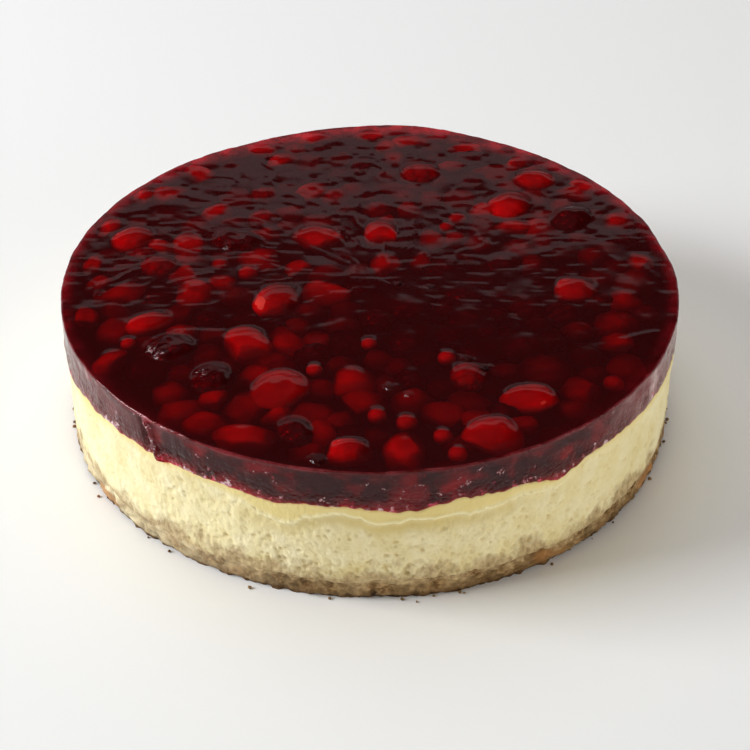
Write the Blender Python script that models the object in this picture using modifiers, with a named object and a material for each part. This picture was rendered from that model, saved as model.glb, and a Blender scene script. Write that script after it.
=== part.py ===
"""A round fruit cheesecake, uncut: a biscuit base, a cream cheese filling, a thick layer of berry jelly,
and the berries whose tops break the jelly's surface. Metres, +Z up. The origin is at the middle of the
base's underside, and the side that faces the viewer is at -Y."""

import math

import bmesh
import bpy
from mathutils import Matrix, Vector, noise

CAKE_RADIUS = 0.125
BASE_TOP = 0.009
FILLING_TOP = 0.0468
JELLY_TOP = 0.0628
LAYER_GAP = 0.0003
AROUND = 96
JELLY_RINGS = (0.016, 0.032, 0.048, 0.064, 0.080, 0.096)

# Only a rim this wide has an uneven seam. Further in, each layer's faces are level.
SEAM_RIM = 0.014

# The sides keep clear of their relief this close to a seam, so that two layers' sides meet in one line.
SEAM_CALM = 0.0025
JELLY_EDGE_ROUNDING = 0.0009

# Where the whole side strays from a circle: degrees round from the front, how far out, and how wide.
BULGES = (
    (172, 0.0026, 13),
    (-152, -0.0013, 16),
    (101, -0.0010, 5),
)

# At the left the side leans: degrees round, how far out at the top, and how wide.
LEAN = (-85, 0.0022, 30)

# Noise round the side: lumps in a radian, the row of the noise, and the size.
SEAM_WAVES = ((5.0, 3.1, 0.0012), (14.0, 7.7, 0.0007))
CRUMB_WAVES = ((7.0, 1.3, 0.0009), (24.0, 5.9, 0.0008))
SIDE_WAVES = ((1.6, 0.4, 0.0005),)
LIP_WAVES = ((4.0, 9.2, 0.0022),)

# Relief of a side: lumps in a radian, rows of lumps in a metre of height, and the size.
CRUMB_RELIEF = ((20.0, 260, 0.0008), (38.0, 500, 0.0005))
FILLING_RELIEF = ((12.0, 160, 0.0004),)
JELLY_RELIEF = ((9.0, 120, 0.0003),)

# The smoother lip of cream under the jelly: how deep it reaches, how far it stands out, how softly it ends.
LIP_DEPTH = 0.0062
LIP_OUT = 0.0006
LIP_END = 0.0012
CRUMBS_LOST = 0.0002
DENTS_DEEP = 0.0004

# Where the jelly ran down over the filling: degrees round from the front, how far down, and how wide.
JELLY_RUNS = (
    (-72, 0.0036, 8),
    (-17, 0.0024, 4.5),
    (5.5, 0.0034, 5),
    (34, 0.0042, 4.5),
    (92, 0.0030, 6),
    (128, 0.0022, 5),
    (163, 0.0034, 6),
    (-158, 0.0026, 5),
    (-121, 0.0030, 7),
)

# Where the jelly ran down it stands out by this much, and most below this height over the level seam.
RUN_OUT = 0.0006
RUN_STARTS = 0.0015
RUN_FULL = 0.003
RUN_FADES = 0.004

# Soft swells of the jelly's top: lumps in a metre, the row of the noise, and the height.
SWELLS = ((38, 0.0, 0.0005), (90, 0.1, 0.0003))

# The jelly's collar round a berry: its share of the berry's lift, where it ends and how wide its slope is, in
# mean radii of the berry.
COLLAR_LIFT = 0.55
COLLAR_ENDS = 1.7
COLLAR_SLOPE = 0.8

# Berries that break the surface: kind, x and y of the middle, length, width, the way the tip points in
# degrees from +X, and how far the top stands above the level jelly.
BERRIES = (
    ("strawberry", -0.038, -0.016, 0.025, 0.020, 80, 0.0013),
    ("strawberry", -0.049, -0.045, 0.024, 0.019, 112, 0.0011),
    ("strawberry", -0.035, -0.075, 0.026, 0.023, 232, 0.0012),
    ("strawberry", 0.059, -0.080, 0.023, 0.017, 186, 0.0011),
    ("strawberry", 0.044, -0.101, 0.023, 0.021, 205, 0.0009),
    ("strawberry", -0.008, -0.111, 0.017, 0.014, 5, 0.0009),
    ("strawberry", 0.083, -0.008, 0.019, 0.018, 355, 0.0010),
    ("strawberry", 0.060, 0.057, 0.023, 0.020, 62, 0.0016),
    ("strawberry", 0.072, 0.078, 0.020, 0.016, 178, 0.0012),
    ("strawberry", 0.004, 0.035, 0.019, 0.016, 98, 0.0010),
    ("strawberry", -0.101, 0.030, 0.020, 0.017, 45, 0.0013),
    ("strawberry", -0.088, -0.031, 0.021, 0.013, 24, 0.0008),
    ("strawberry", -0.023, 0.031, 0.023, 0.018, 162, 0.0008),
    ("bramble", 0.086, 0.046, 0.022, 0.018, 60, 0.0016),
    ("bramble", -0.057, 0.028, 0.024, 0.018, 170, 0.0013),
    ("bramble", -0.078, -0.049, 0.021, 0.019, 32, 0.0015),
    ("bramble", -0.061, -0.068, 0.020, 0.017, 82, 0.0012),
    ("bramble", -0.028, -0.100, 0.017, 0.014, 122, 0.0010),
    ("raspberry", 0.022, 0.084, 0.020, 0.016, 10, 0.0012),
    ("raspberry", 0.037, -0.066, 0.017, 0.015, 102, 0.0009),
    ("raspberry", -0.088, 0.009, 0.018, 0.015, 152, 0.0010),
)
BERRY_TALLEST = 0.0125
BERRY_FLATNESS = 0.82
POCKET_CLEARANCE = 0.0005
DRUPELETS_ROUND = 8
DRUPELET_ROWS = 5
DRUPELET_DEPTH = {"bramble": 0.30, "raspberry": 0.22}

# A strawberry's tip is narrower than its shoulders by this share, and its sides are this uneven.
STRAWBERRY_TAPER = 0.24
STRAWBERRY_UNEVEN = 0.11
DRUPELETS_UNEVEN = 0.06

# Segments round and rows of a strawberry and of the plain pocket of the other kinds.
STRAWBERRY_GRID = (12, 8)
PLAIN_POCKET_GRID = (10, 7)
SHARP_ANGLE = 50
MERGE_DISTANCE = 0.00001

# Colour, roughness and metallic value of each material.
FINISHES = {
    "biscuit": ((0.30, 0.17, 0.08), 0.9, 0.0),
    "cream_cheese": ((0.80, 0.68, 0.38), 0.6, 0.0),
    "jelly": ((0.10, 0.004, 0.008), 0.08, 0.0),
    "strawberry": ((0.42, 0.012, 0.012), 0.25, 0.0),
    "bramble": ((0.030, 0.002, 0.008), 0.25, 0.0),
    "raspberry": ((0.22, 0.006, 0.016), 0.3, 0.0),
}


def clear_scene():
    for obj in list(bpy.data.objects):
        bpy.data.objects.remove(obj, do_unlink=True)


def new_collection(name):
    collection = bpy.data.collections.new(name)
    bpy.context.scene.collection.children.link(collection)
    return collection


def material(name):
    colour, roughness, metallic = FINISHES[name]
    made = bpy.data.materials.get(name)
    if made is None:
        made = bpy.data.materials.new(name)
        made.use_nodes = True
        shader = made.node_tree.nodes["Principled BSDF"]
        shader.inputs["Base Color"].default_value = (*colour, 1.0)
        shader.inputs["Roughness"].default_value = roughness
        shader.inputs["Metallic"].default_value = metallic
    return made


def add_object(name, mesh, collection, finish=None):
    obj = bpy.data.objects.new(name, mesh)
    collection.objects.link(obj)
    if finish:
        mesh.materials.append(material(finish))
    return obj


def mesh_from(bm, name):
    bmesh.ops.recalc_face_normals(bm, faces=bm.faces)
    mesh = bpy.data.meshes.new(name)
    bm.to_mesh(mesh)
    bm.free()
    mesh.shade_smooth()
    mesh.set_sharp_from_angle(angle=math.radians(SHARP_ANGLE))
    return mesh


def smooth_step(x):
    x = min(1.0, max(0.0, x))
    return x * x * (3 - 2 * x)


def angle_from_front(x, y):
    """Degrees round the cake from the front, positive towards +X."""
    return math.degrees(math.atan2(x, -y))


def round_noise(angle, turns, row=0.0):
    """Noise that closes on itself round the cake: turns is how many lumps fit in a radian."""
    a = math.radians(angle)
    return noise.noise(Vector((turns * math.cos(a), turns * math.sin(a), row)))


def waves(angle, table):
    return sum(size * round_noise(angle, turns, row) for turns, row, size in table)


def relief(angle, height, table):
    return sum(size * round_noise(angle, turns, rows * height) for turns, rows, size in table)


def hump(angle, middle, width):
    """One at the middle, and next to nothing two widths round from it."""
    off = (angle - middle + 180) % 360 - 180
    return math.exp(-((off / width) ** 2))


def seam_height(angle):
    """Height of the seam between the filling and the jelly, at the side: a wavy line with runs."""
    runs = sum(depth * hump(angle, middle, width) for middle, depth, width in JELLY_RUNS)
    return FILLING_TOP + waves(angle, SEAM_WAVES) - runs


def crumb_height(angle):
    """Height of the uneven line where the biscuit meets the filling, at the side."""
    return BASE_TOP + waves(angle, CRUMB_WAVES)


def in_the_rim(value, level, radius):
    """The side's own height near the rim, and the level one further in."""
    return level + (value - level) * smooth_step((radius - CAKE_RADIUS + SEAM_RIM) / SEAM_RIM)


def out_of_round(angle, height):
    """How far the side strays from a circle: a few wide bulges, soft waves, and a lean at the left."""
    middle, out, width = LEAN
    lean = out * hump(angle, middle, width) * height / JELLY_TOP
    bulges = sum(out * hump(angle, middle, width) for middle, out, width in BULGES)
    return lean + bulges + waves(angle, SIDE_WAVES)


def clear_of(line, height):
    """Nothing at a seam and all of it a little away."""
    return smooth_step(abs(height - line) / SEAM_CALM)


def base_side(angle, height):
    """Crumbs stand out and have fallen away along the biscuit's edge."""
    return (relief(angle, height, CRUMB_RELIEF) - CRUMBS_LOST) * clear_of(crumb_height(angle), height)


def filling_side(angle, height):
    """A smoother lip of cream stands out under the jelly, above a wavy line, and the rest has dents."""
    seam = seam_height(angle)
    lip_line = seam - LIP_DEPTH + waves(angle, LIP_WAVES)
    lip = LIP_OUT * smooth_step((height - lip_line) / LIP_END) * clear_of(seam, height)
    dents = relief(angle, height, FILLING_RELIEF) - DENTS_DEEP
    return lip + dents * clear_of(seam, height) * clear_of(crumb_height(angle), height)


def jelly_side(angle, height):
    """The cut edge of the jelly is slightly wavy, and stands out where it ran down."""
    seam = seam_height(angle)
    run = max(0.0, FILLING_TOP - RUN_STARTS - seam) / RUN_FULL
    low = smooth_step((FILLING_TOP + RUN_FADES - height) / (RUN_FADES + RUN_STARTS))
    return (relief(angle, height, JELLY_RELIEF) + RUN_OUT * run * low) * clear_of(seam, height)


def turned_disc(name, heights, rings=()):
    """A disc turned from a profile. heights are its side's rows from the top down, and rings the radii of
    the top face's rings besides the one where the level part begins."""
    inner = CAKE_RADIUS - SEAM_RIM
    top = [(r, heights[0]) for r in (0.0, *rings, inner)]
    side = [(CAKE_RADIUS, z) for z in heights]
    bottom = [(inner, heights[-1]), (0.0, heights[-1])]
    profile = top + side + bottom
    line = bpy.data.meshes.new(name + "_profile")
    line.from_pydata([(r, 0.0, z) for r, z in profile], [(i, i + 1) for i in range(len(profile) - 1)], [])
    turned = bpy.data.objects.new(name + "_profile", line)
    bpy.context.scene.collection.objects.link(turned)
    screw = turned.modifiers.new("Turn", "SCREW")
    screw.steps = screw.render_steps = AROUND
    screw.use_merge_vertices = True
    screw.merge_threshold = MERGE_DISTANCE
    graph = bpy.context.evaluated_depsgraph_get()
    mesh = bpy.data.meshes.new_from_object(turned.evaluated_get(graph))
    mesh.name = name
    bpy.data.objects.remove(turned)
    return mesh


def even_rows(low, high, rows):
    return [high + (low - high) * i / rows for i in range(rows + 1)]


def fit_layer(points, low, high, low_line, high_line, side):
    """Moves a plain disc's points: its faces follow the seams near the rim, and its side the relief."""
    for point in points:
        x, y, z = point.co
        radius = math.hypot(x, y)
        angle = angle_from_front(x, y)
        share = (z - low) / (high - low)
        bottom = in_the_rim(low_line(angle), low, radius)
        top = in_the_rim(high_line(angle), high, radius)
        height = bottom + (top - bottom) * share
        reach = smooth_step((radius - CAKE_RADIUS + SEAM_RIM) / SEAM_RIM)
        grown = 1 + reach * (out_of_round(angle, height) + side(angle, height)) / CAKE_RADIUS
        point.co = (x * grown, y * grown, height)


def out_and_down(vert):
    return vert.co.xy.length - vert.co.z


def split_quads(bm):
    """Each diagonal runs outwards as it goes anticlockwise, so that the two faces of a seam bend alike."""
    for face in [f for f in bm.faces if len(f.verts) == 4]:
        first, second, third, fourth = face.verts
        middle = face.calc_center_median().xy
        onward = middle.cross(first.co.xy - third.co.xy)
        if onward * (out_and_down(first) - out_and_down(third)) > 0:
            bmesh.utils.face_split(face, first, third)
        else:
            bmesh.utils.face_split(face, second, fourth)


def smooth_sided(mesh):
    bm = bmesh.new()
    bm.from_mesh(mesh)
    split_quads(bm)
    return mesh_from(bm, mesh.name)


def make_base(collection):
    mesh = turned_disc("biscuit_base", even_rows(0.0, BASE_TOP, 3))
    fit_layer(mesh.vertices, 0.0, BASE_TOP, lambda a: 0.0, crumb_height, base_side)
    return add_object("biscuit_base", smooth_sided(mesh), collection, "biscuit")


def make_filling(collection):
    low = BASE_TOP + LAYER_GAP
    mesh = turned_disc("cream_cheese_filling", even_rows(low, FILLING_TOP, 7))
    underside = lambda a: crumb_height(a) + LAYER_GAP
    fit_layer(mesh.vertices, low, FILLING_TOP, underside, seam_height, filling_side)
    return add_object("cream_cheese_filling", smooth_sided(mesh), collection, "cream_cheese")


def level_of_jelly(x, y):
    """Height of the jelly's top away from its edge: soft swells, and a collar that rises round each berry."""
    swells = sum(height * noise.noise(Vector((x, y, row)) * lumps) for lumps, row, height in SWELLS)
    collar = 0.0
    for kind, bx, by, length, width, turn, lift in BERRIES:
        mean_radius = (length + width) / 4
        away = math.hypot(x - bx, y - by) / mean_radius
        collar = max(collar, lift * COLLAR_LIFT * smooth_step((COLLAR_ENDS - away) / COLLAR_SLOPE))
    return JELLY_TOP + swells + collar


def make_jelly(collection):
    """The top face is bumpy and its rim is rounded. The pockets are cut into it afterwards."""
    low = FILLING_TOP + LAYER_GAP
    below_rim = JELLY_TOP - JELLY_EDGE_ROUNDING
    mesh = turned_disc("berry_jelly", [JELLY_TOP] + even_rows(low, below_rim, 3), JELLY_RINGS)
    on_top = [v for v in mesh.vertices if v.co.z > JELLY_TOP - JELLY_EDGE_ROUNDING / 2]
    rim = [v for v in on_top if v.co.xy.length > CAKE_RADIUS - JELLY_EDGE_ROUNDING]
    underside = lambda a: seam_height(a) + LAYER_GAP
    fit_layer(mesh.vertices, low, JELLY_TOP, underside, lambda a: JELLY_TOP, jelly_side)
    for v in rim:
        v.co.xy *= 1 - JELLY_EDGE_ROUNDING / CAKE_RADIUS
    for v in on_top:
        v.co.z = level_of_jelly(v.co.x, v.co.y)
    return add_object("berry_jelly", smooth_sided(mesh), collection, "jelly")


def berry_height(width):
    return min(BERRY_TALLEST, BERRY_FLATNESS * width)


def strawberry_point(unit, seed):
    """A unit sphere's point on a strawberry that points along +X: broad shoulders and a blunt tip."""
    taper = 1.0 - STRAWBERRY_TAPER * smooth_step((unit.x + 0.35) / 1.35)
    uneven = 1 + STRAWBERRY_UNEVEN * noise.noise(unit * 1.4 + Vector((seed, 0, 0)))
    return Vector((unit.x, unit.y * taper, unit.z * taper)) * uneven


def drupelet_point(unit, seed, depth):
    """A unit sphere's point on a berry of drupelets: domes in rows round the X axis, each half a step on."""
    along = math.acos(max(-1.0, min(1.0, unit.x))) / math.pi * DRUPELET_ROWS
    row = math.floor(along)
    across = math.atan2(unit.z, unit.y) / math.tau * DRUPELETS_ROUND + 0.5 * (row % 2)
    du = 2 * (across - math.floor(across)) - 1
    dv = 2 * (along - row) - 1
    dome = math.sqrt(max(0.0, 1 - 0.5 * (du * du + dv * dv)))
    uneven = 1 + DRUPELETS_UNEVEN * noise.noise(unit * 1.7 + Vector((seed, 3, 0)))
    return unit * (1 - depth + depth * dome) * uneven


def unit_sphere(around, rows):
    """A sphere of radius 1 with its poles on the X axis."""
    bm = bmesh.new()
    bmesh.ops.create_uvsphere(bm, u_segments=around, v_segments=rows, radius=1.0)
    bmesh.ops.rotate(bm, verts=bm.verts, matrix=Matrix.Rotation(math.pi / 2, 3, "Y"))
    return bm


def berry_mesh(name, kind, size, seed):
    """A berry with its tip along +X and its middle at the origin. size is its length, width and height."""
    if kind == "strawberry":
        bm = unit_sphere(*STRAWBERRY_GRID)
    else:
        bm = unit_sphere(2 * DRUPELETS_ROUND, 2 * DRUPELET_ROWS)
    for v in bm.verts:
        if kind == "strawberry":
            v.co = strawberry_point(v.co, seed)
        else:
            v.co = drupelet_point(v.co, seed, DRUPELET_DEPTH[kind])
    bmesh.ops.scale(bm, vec=Vector(size) / 2, verts=bm.verts)
    return mesh_from(bm, name)


def pocket_mesh(name, kind, size, seed):
    """The hollow that a berry sits in, larger than it all round: the berry's own form for a strawberry, and
    a plain egg with twice the clearance round the drupelets of the others."""
    if kind == "strawberry":
        bm = unit_sphere(*STRAWBERRY_GRID)
        spare = POCKET_CLEARANCE
        for v in bm.verts:
            v.co = strawberry_point(v.co, seed)
    else:
        bm = unit_sphere(*PLAIN_POCKET_GRID)
        spare = 2 * POCKET_CLEARANCE
    half = [s / 2 + spare for s in size]
    bmesh.ops.scale(bm, vec=Vector(half), verts=bm.verts)
    return mesh_from(bm, name)


def make_berries(collection, cutters):
    """Each berry lies on its side in its pocket, with its top just above the jelly."""
    counts = {}
    berries = []
    for seed, (kind, x, y, length, width, turn, lift) in enumerate(BERRIES):
        counts[kind] = counts.get(kind, 0) + 1
        name = f"{kind}_{counts[kind]}"
        size = (length, width, berry_height(width))
        mesh = berry_mesh(name, kind, size, seed)
        highest = max(v.co.z for v in mesh.vertices)
        berry = add_object(name, mesh, collection, kind)
        pocket = add_object(name + "_pocket", pocket_mesh(name + "_pocket", kind, size, seed), cutters)
        for obj in (berry, pocket):
            obj.location = (x, y, JELLY_TOP + lift - highest)
            obj.rotation_euler = (0.0, 0.0, math.radians(turn))
        pocket.hide_render = True
        pocket.display_type = "WIRE"
        berries.append(berry)
    return berries


def main():
    clear_scene()
    cake = new_collection("cheesecake")
    cutters = new_collection("pockets")
    whole = bpy.data.objects.new("cheesecake", None)
    cake.objects.link(whole)
    layers = [make_base(cake), make_filling(cake), make_jelly(cake)]
    berries = make_berries(cake, cutters)
    pockets = layers[-1].modifiers.new("Berry pockets", "BOOLEAN")
    pockets.operation = "DIFFERENCE"
    pockets.operand_type = "COLLECTION"
    pockets.collection = cutters
    for obj in layers + berries:
        obj.parent = whole


main()
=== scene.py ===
"""The looks of a whole round cheesecake: a crumbly biscuit base, a pale filling full of fine holes, and a
clear dark red jelly with berries set in it. Metres, +Z up. The side towards the viewer is at -Y."""

import math
from functools import partial
from itertools import product

import bpy
import numpy as np
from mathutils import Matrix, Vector


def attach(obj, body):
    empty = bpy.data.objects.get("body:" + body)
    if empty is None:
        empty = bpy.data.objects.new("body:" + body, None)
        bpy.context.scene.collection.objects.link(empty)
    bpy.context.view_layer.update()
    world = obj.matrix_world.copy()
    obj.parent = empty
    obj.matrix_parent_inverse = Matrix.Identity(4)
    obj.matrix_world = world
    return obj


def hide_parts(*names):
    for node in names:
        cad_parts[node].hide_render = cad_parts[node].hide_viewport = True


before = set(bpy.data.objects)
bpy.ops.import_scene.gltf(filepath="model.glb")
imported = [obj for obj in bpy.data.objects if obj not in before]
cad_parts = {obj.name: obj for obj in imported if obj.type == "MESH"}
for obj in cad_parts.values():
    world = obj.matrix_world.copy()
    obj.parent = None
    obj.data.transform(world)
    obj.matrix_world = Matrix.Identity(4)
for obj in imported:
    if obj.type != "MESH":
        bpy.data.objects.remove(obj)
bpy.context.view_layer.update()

ROUND = 2 * math.pi

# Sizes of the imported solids.
CAKE_RADIUS = 0.125
BASE_TOP = 0.009
FILLING_TOP = 0.0468
JELLY_TOP = 0.0628
CAD_SPOKES = 96

# Fruit that has a solid of its own. Each row has the x and y of its middle, its length and its width, the
# way its tip points in degrees from +X, and how far its top lies under the level jelly, which is negative
# because the top stands out of it. All but the degrees are millimetres.
BERRIES = {
    "strawberry": (
        (-38, -16, 25, 20, 80, -1.3), (-49, -45, 24, 19, 112, -1.1), (-35, -75, 26, 23, 232, -1.2),
        (59, -80, 23, 17, 186, -1.1), (44, -101, 23, 21, 205, -0.9), (-8, -111, 17, 14, 5, -0.9),
        (83, -8, 19, 18, 355, -1), (60, 57, 23, 20, 62, -1.6), (72, 78, 20, 16, 178, -1.2),
        (4, 35, 19, 16, 98, -1), (-101, 30, 20, 17, 45, -1.3), (-88, -31, 21, 13, 24, -0.8),
        (-23, 31, 23, 18, 162, -0.8),
    ),
    "bramble": (
        (86, 46, 22, 18, 60, -1.6), (-57, 28, 24, 18, 170, -1.3), (-78, -49, 21, 19, 32, -1.5),
        (-61, -68, 20, 17, 82, -1.2), (-28, -100, 17, 14, 122, -1),
    ),
    "raspberry": (
        (22, 84, 20, 16, 10, -1.2), (37, -66, 17, 15, 102, -0.9), (-88, 9, 18, 15, 152, -1),
    ),
}

# Fruit wholly sunk in the jelly, in the same way.
SUNK = {
    "strawberry": (
        (-77, 28, 19, 17, 100, 0.6), (-72, -8, 24, 20, 70, 0.6), (-101, -9, 23, 19, 30, 1),
        (-7, -68, 23, 19, 95, 0.7), (12, -109, 21, 17, 85, 0.7), (-47, -102, 24, 16, 170, 0.8),
        (102, -14, 18, 17, 60, 1.6), (61, 40, 19, 11, 175, 0.8), (94, 19, 19, 17, 20, 2.2),
        (45, 31, 18, 15, 130, 2.6), (-40, 97, 18, 15, 75, 0.6), (-67, 53, 16, 14, 80, 0.7),
        (6, 12, 20, 14, 92, 0.7), (18, 113, 20, 12, 4, 0.7), (-90, 68, 19, 15, 40, 0.8),
        (-77, 85, 16, 12, 140, 1), (106, 46, 16, 14, 70, 0.8), (112, 14, 14, 11, 110, 1),
        (90, 70, 18, 15, 150, 1.2), (-101, -55, 16, 12, 60, 0.8), (-115, 12, 14, 10, 85, 1),
        (-114, -25, 15, 10, 100, 1.2), (76, -83, 16, 14, 30, 2.8), (98, -58, 18, 16, 75, 3.2),
        (-18, 8, 19, 16, 20, 3), (27, -87, 19, 16, 150, 2.2), (-12, -92, 16, 14, 60, 2.6),
        (-70, -86, 19, 15, 20, 1.8), (67, -97, 13, 11, 35, 8), (83, -84, 12, 9, 45, 9),
        (28, -116, 12, 9, 15, 7), (-26, 116, 16, 11, 10, 0.5), (43, 107, 18, 12, 160, 0.6),
        (66, 94, 15, 12, 30, 0.6), (-50, 105, 14, 10, 170, 0.5), (0, 118, 16, 9, 175, 0.5),
        (93, 74, 13, 10, 130, 0.6), (-99, 66, 13, 10, 50, 0.6), (-112, 40, 14, 10, 70, 0.6),
    ),
    "raspberry": (
        (82, -34, 15, 14, 30, 2.2), (73, 29, 14, 12, 70, 1.8), (-47, 48, 16, 15, 50, 0.6),
        (-47, 67, 15, 14, 10, 0.6), (3, 55, 17, 16, 120, 1.2), (-16, 66, 17, 15, 60, 1),
        (-12, -30, 17, 15, 10, 2.8),
    ),
    "bramble": (
        (108, 31, 14, 12, 30, 1.2), (-23, 108, 20, 16, 20, 0.8), (30, 10, 23, 19, 40, 1),
        (55, 13, 23, 19, 15, 0.8), (62, -18, 24, 20, 100, 1.2), (39, -26, 23, 20, 60, 1),
        (14, -18, 23, 19, 150, 1.1), (14, -43, 21, 18, 80, 1.4), (59, -45, 24, 19, 20, 1.2),
        (84, -52, 19, 16, 130, 1.6), (45, 100, 20, 17, 165, 1), (45, 78, 19, 17, 100, 1),
        (-62, 93, 20, 17, 30, 1), (-4, 92, 21, 17, 75, 0.8), (-23, -50, 19, 17, 35, 1.4),
        (15, -66, 16, 14, 120, 1.8), (-66, -27, 17, 15, 60, 2.4),
    ),
    "currant": (
        (-51, 5, 9, 9, 0, 0.4), (13, -94, 9, 9, 0, 0.4), (2, -90, 8, 8, 0, 0.6),
        (26, -102, 8, 8, 0, 0.5), (31, -112, 8, 8, 0, 0.6), (-22, -62, 7, 7, 0, 0.5),
        (-1, -45, 7, 7, 0, 0.6), (29, -54, 8, 8, 0, 0.6), (-95, -45, 7, 7, 0, 0.5),
        (92, -69, 9, 9, 0, 1.6), (37, 47, 9, 9, 0, 0.7), (32, 40, 7, 7, 0, 0.8),
        (-63, 12, 8, 8, 0, 1.2),
    ),
}

# The highest that a fruit is, the lowest that one reaches, and the least jelly over one.
BERRY_TALLEST = 0.0125
FRUIT_LOWEST = FILLING_TOP + 0.0004
FILM = 0.0006


def metres(*millimetres):
    """Numbers of a table in metres."""
    return [number / 1000 for number in millimetres]


def fruit_list(table):
    """Each fruit of a table as one row in metres, with its kind in front and its turn still in degrees."""
    fruit = []
    for kind, rows in table.items():
        for x, y, length, width, turn, depth in rows:
            x, y, length, width, depth = metres(x, y, length, width, depth)
            fruit.append((kind, x, y, length, width, turn, depth))
    return fruit


TOP_FRUIT = fruit_list(BERRIES)
SUNK_FRUIT = fruit_list(SUNK)

# Numbers along each side of a noise lattice, and rows of a table of pits, after which they repeat.
LATTICE = 32
PIT_ROWS = 64


def smooth_step(x):
    """Zero up to 0, one from 1 on, and between them three times the square of x less twice its cube."""
    x = np.clip(x, 0.0, 1.0)
    return x * x * (3 - 2 * x)


def bell(x, width):
    """One at 0, falling off to both sides as the exponential of minus the square of x over the width."""
    return np.exp(-((x / width) ** 2))


def lattice_noise(points, size, seed):
    """Random numbers from -1 to 1 on a cubic lattice with cells of the given size, blended between its
    corners by smooth steps. Each use has a seed of its own."""
    table = np.random.default_rng(seed).uniform(-1, 1, (LATTICE, LATTICE, LATTICE))
    cell = points / size
    low = np.floor(cell).astype(int)
    part = smooth_step(cell - low)
    total = np.zeros(points.shape[:-1])
    for corner in product((0, 1), repeat=3):
        share = np.prod(np.where(corner, part, 1 - part), axis=-1)
        i, j, k = np.moveaxis((low + corner) % LATTICE, -1, 0)
        total += share * table[i, j, k]
    return total


def lumps(points, *sizes):
    """Lattice noise of several sizes added up, each given as its height, the size of its cells and its
    seed."""
    return sum(height * lattice_noise(points, size, seed) for height, size, seed in sizes)


def pits(along, up, cell, seed, share):
    """Round hollows: each cell of a lattice has one hollow at a random place with a random radius, and the
    depth falls off from its middle as the square of one minus the squared distance. along runs round the
    whole cake."""
    columns = round(ROUND * CAKE_RADIUS / cell[0])
    rng = np.random.default_rng(seed)
    table = rng.uniform(0, 1, (columns, PIT_ROWS, 3))
    there = rng.uniform(0, 1, (columns, PIT_ROWS)) < share
    u = along / ROUND * columns
    v = up / cell[1]
    i = np.floor(u).astype(int)
    j = np.floor(v).astype(int)
    deepest = np.zeros(np.shape(u))
    for di, dj in product((-1, 0, 1), repeat=2):
        column = (i + di) % columns
        row = (j + dj) % PIT_ROWS
        place = table[column, row]
        away = np.hypot(u - i - di - place[..., 0], v - j - dj - place[..., 1])
        radius = 0.18 + 0.34 * place[..., 2] ** 2
        bowl = np.clip(1 - (away / radius) ** 2, 0, 1) ** 2
        deepest = np.maximum(deepest, bowl * radius / 0.5 * there[column, row])
    return deepest


def all_round(count):
    """Angles at equal steps, once round."""
    return np.arange(count) / count * ROUND


def apart(angle, middle):
    """Radians from a middle to an angle by the shorter way round, from minus half a turn to half a turn."""
    return (angle - middle + math.pi) % ROUND - math.pi


def on_side(angle, radius, height):
    """The point at an angle from the front, positive towards +X, at a distance from the middle and a
    height."""
    return np.stack(np.broadcast_arrays(radius * np.sin(angle), -radius * np.cos(angle), height), axis=-1)


def level_rows(angle, height, *shares):
    """Rows of points at a height, each at a share of the cake's radius."""
    return on_side(angle, np.array(shares)[:, None] * CAKE_RADIUS, height)


def packed_rim(node):
    """Each spoke's lowest and highest point and mean radius, read from the rim of a packed layer."""
    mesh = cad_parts[node].data
    points = np.empty(len(mesh.vertices) * 3, np.float32)
    mesh.vertices.foreach_get("co", points)
    x, y, z = points.reshape(-1, 3).T.astype(float)
    radius = np.hypot(x, y)
    rim = radius > 0.975 * CAKE_RADIUS
    spoke = np.rint(np.arctan2(x, -y)[rim] / ROUND * CAD_SPOKES).astype(int) % CAD_SPOKES
    low = np.full(CAD_SPOKES, np.inf)
    high = np.full(CAD_SPOKES, -np.inf)
    np.minimum.at(low, spoke, z[rim])
    np.maximum.at(high, spoke, z[rim])
    mean = np.bincount(spoke, radius[rim], CAD_SPOKES) / np.bincount(spoke, minlength=CAD_SPOKES)
    return {"low": low, "high": high, "radius": mean}


RIMS = {node: packed_rim(node) for node in ("biscuit_base", "cream_cheese_filling", "berry_jelly")}


def round_line(angle, values):
    """A packed rim's values at any angle, blended from spoke to spoke by smooth steps."""
    place = np.asarray(angle) / ROUND * CAD_SPOKES
    low = np.floor(place).astype(int)
    part = smooth_step(place - low)
    return values[low % CAD_SPOKES] * (1 - part) + values[(low + 1) % CAD_SPOKES] * part


def outline(angle):
    """The cake's radius at an angle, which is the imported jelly's own."""
    return round_line(angle, RIMS["berry_jelly"]["radius"])


def ragged(angle, size, seed):
    """Lattice noise along the rim, with lumps of the given size."""
    return lattice_noise(on_side(angle, CAKE_RADIUS, 0.5 + seed), size, seed)


def seam(angle):
    """The line between the filling and the jelly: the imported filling's upper rim with small ragged steps."""
    return (round_line(angle, RIMS["cream_cheese_filling"]["high"])
            + 0.0006 * ragged(angle, 0.0045, 11) + 0.0005 * ragged(angle, 0.0020, 12))


def crumb_line(angle):
    """The line between the biscuit and the filling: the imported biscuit's upper rim with small ragged
    steps."""
    return (round_line(angle, RIMS["biscuit_base"]["high"])
            + 0.0006 * ragged(angle, 0.0040, 13) + 0.0004 * ragged(angle, 0.0015, 14))


def surface(name, points, faces):
    """A smooth mesh from points and lists of each face's corners."""
    mesh = bpy.data.meshes.new(name)
    mesh.from_pydata(points, [], faces)
    mesh.shade_smooth()
    return mesh


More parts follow.
